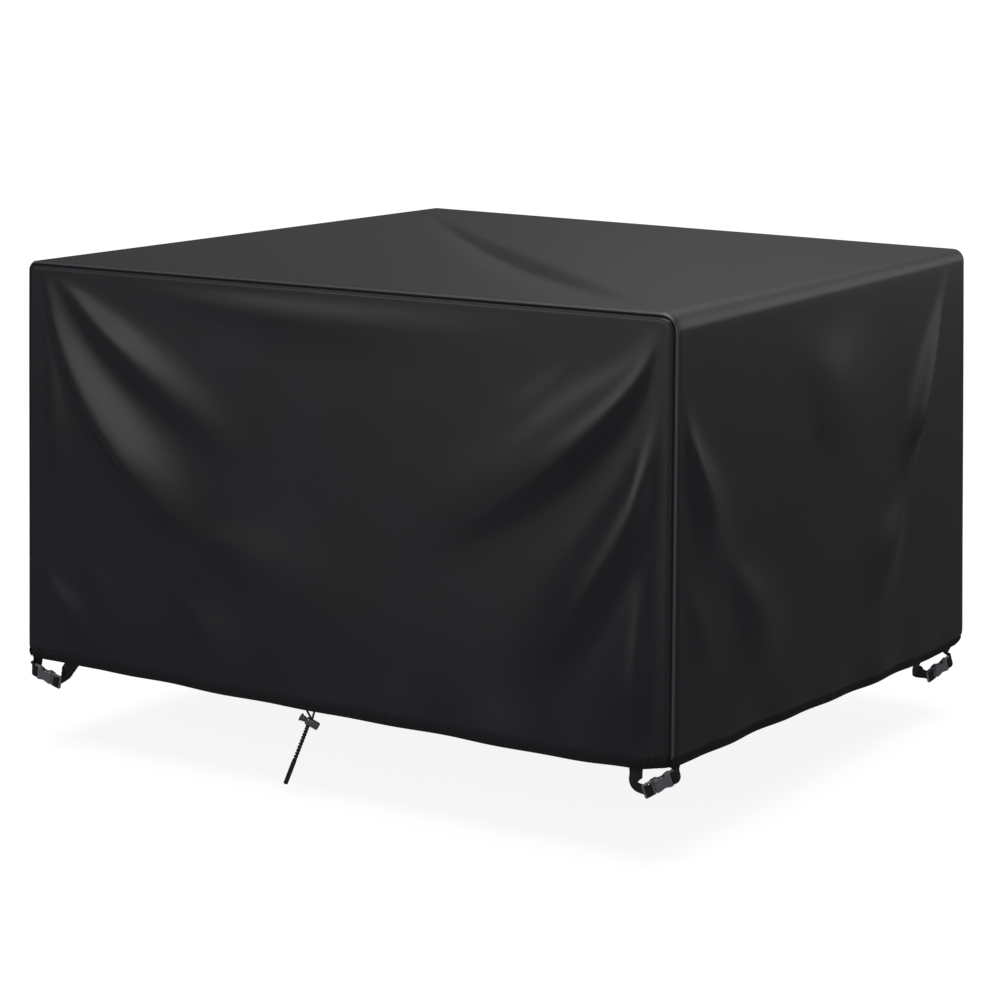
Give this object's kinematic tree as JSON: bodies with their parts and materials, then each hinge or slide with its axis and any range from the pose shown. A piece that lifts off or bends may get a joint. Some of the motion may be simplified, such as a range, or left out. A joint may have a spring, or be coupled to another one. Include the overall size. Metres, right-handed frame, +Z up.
{
  "type": "patio furniture cover",
  "caption": "A fitted square cover for patio furniture, hollow and draped, in black coated cloth with lapped seams, a hem drawcord with a cord lock and a clipped webbing strap pair at each corner.",
  "frame": {"origin": "underside of the cover's top, at its middle", "axes": "+X along the front towards the right end, +Y towards the back, +Z up"},
  "size_m": [1.3855, 1.2276, 0.8961],
  "materials": {
    "coated_polyester": "satin",
    "polypropylene_webbing": "matte",
    "acetal_buckle": "satin",
    "moulded_cord_lock": "satin",
    "braided_cord": "matte"
  },
  "bodies": {
    "cover": {"cloth_band": "coated_polyester", "panel_front": "coated_polyester", "panel_back": "coated_polyester", "strap_long_near": "polypropylene_webbing", "strap_short_near": "polypropylene_webbing", "buckle_prong_near": "acetal_buckle", "buckle_socket_near": "acetal_buckle", "strap_long_left": "polypropylene_webbing", "strap_short_left": "polypropylene_webbing", "buckle_prong_left": "acetal_buckle", "buckle_socket_left": "acetal_buckle", "strap_long_far": "polypropylene_webbing", "strap_short_far": "polypropylene_webbing", "buckle_prong_far": "acetal_buckle", "buckle_socket_far": "acetal_buckle", "strap_long_back": "polypropylene_webbing", "strap_short_back": "polypropylene_webbing", "buckle_prong_back": "acetal_buckle", "buckle_socket_back": "acetal_buckle", "toggle_barrel": "moulded_cord_lock", "cord_strand_left": "braided_cord", "cord_strand_right": "braided_cord", "cord_end_sleeve": "moulded_cord_lock"},
    "plunger": {"toggle_plunger": "moulded_cord_lock"}
  },
  "joints": [
    {"name": "plunger_press", "type": "slide", "parent": "cover", "child": "plunger", "axis": [0.8371, 0.305, -0.4541], "range_m": [0, 0.003], "stiffness_N_per_m": 400, "springref_m": -0.002}
  ]
}
